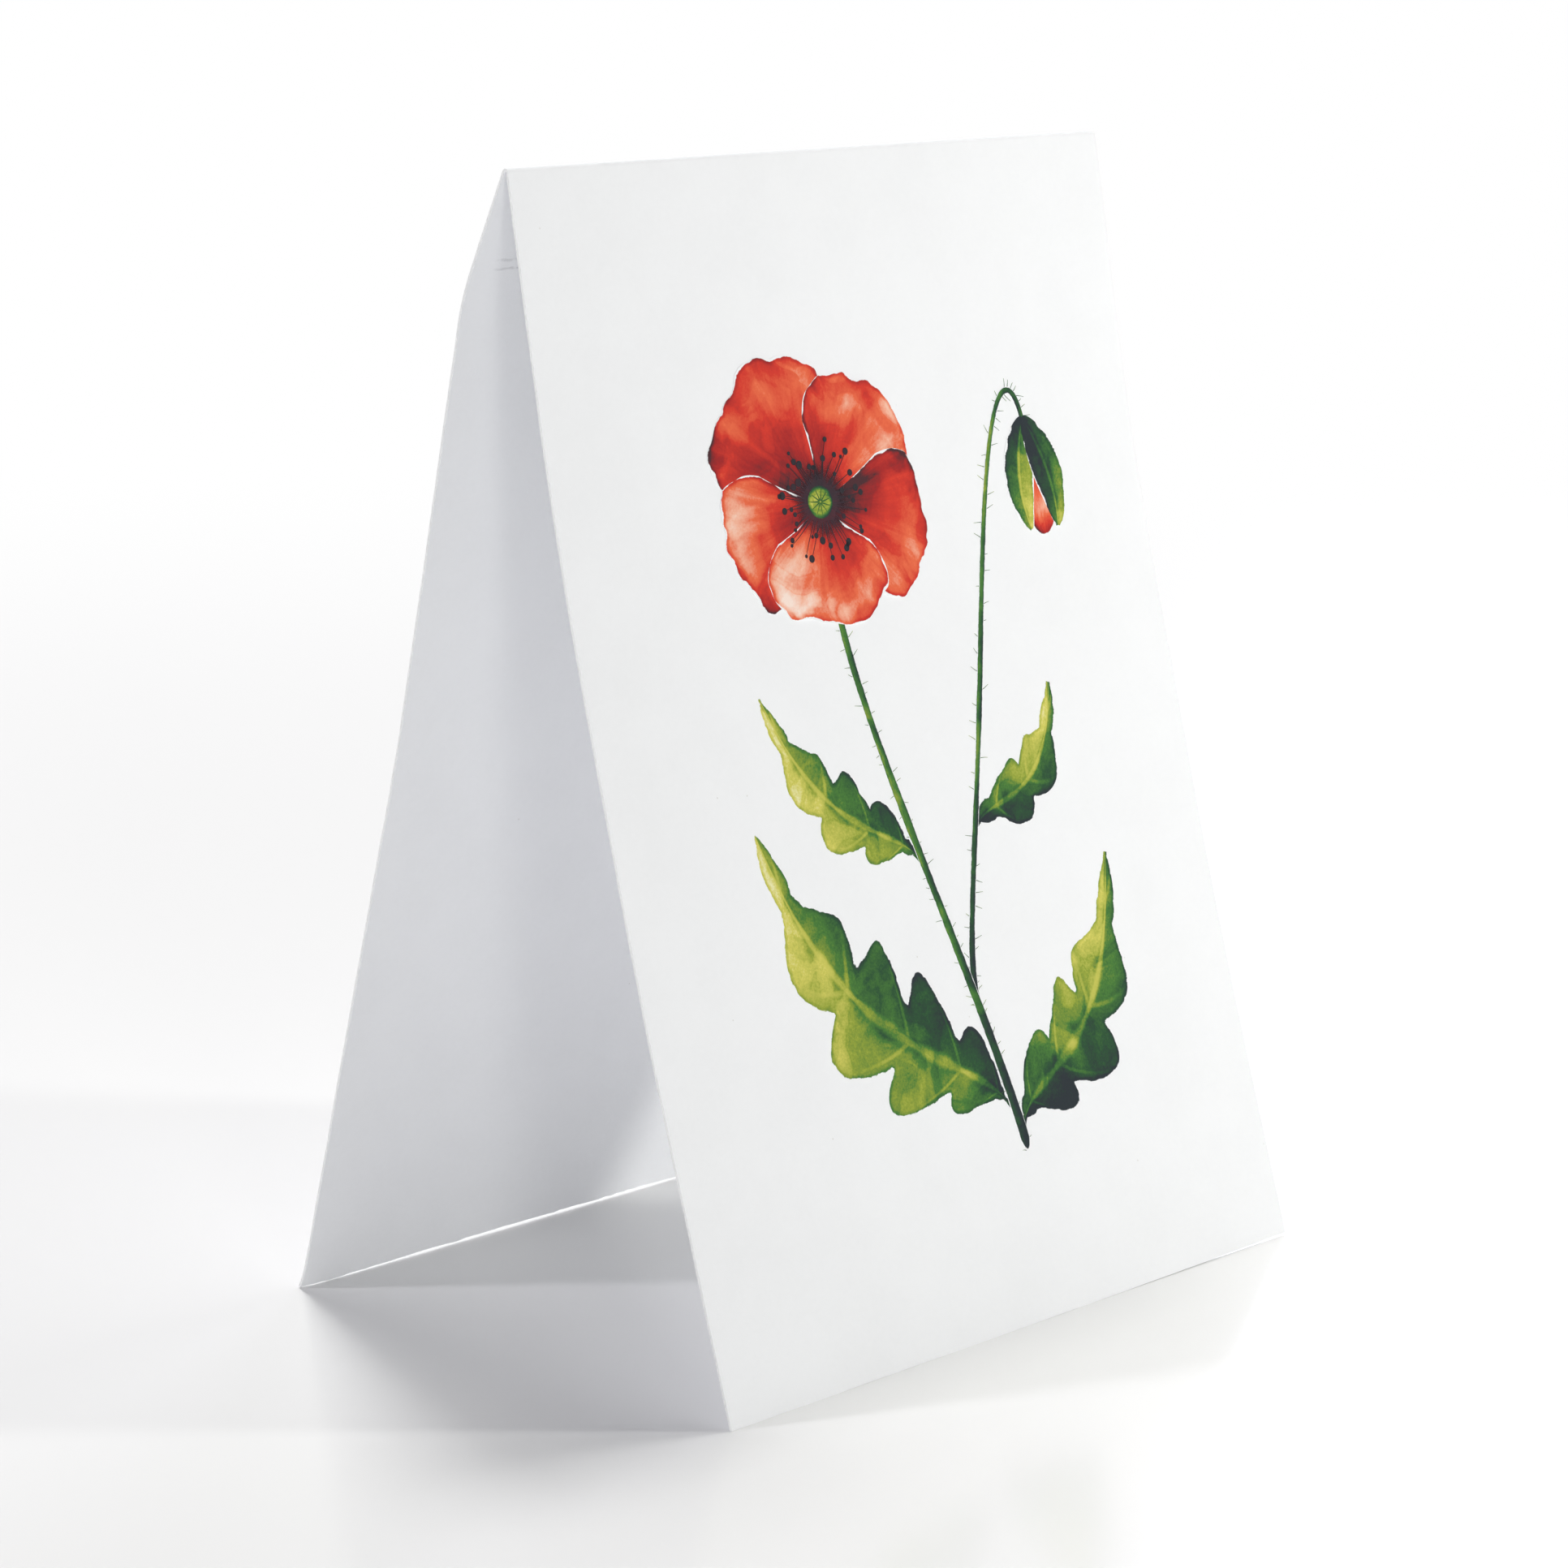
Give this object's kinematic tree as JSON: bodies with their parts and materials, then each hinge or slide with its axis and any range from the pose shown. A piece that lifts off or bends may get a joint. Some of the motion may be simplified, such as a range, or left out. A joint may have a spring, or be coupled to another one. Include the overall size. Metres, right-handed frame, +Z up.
{
  "type": "greeting card",
  "caption": "Greeting card folded from one sheet of white card and stood up like a tent, with a rounded fold on top, gently bent panels and level cut edges to stand on.",
  "frame": {"origin": "on the table, under the middle of the card's box", "axes": "+X along the fold, -Y out of the printed front panel, +Z up"},
  "size_m": [0.107, 0.075, 0.143],
  "materials": {
    "white_card": "smooth uncoated matte"
  },
  "bodies": {
    "root": {"folded_card": "white_card"}
  },
  "joints": []
}
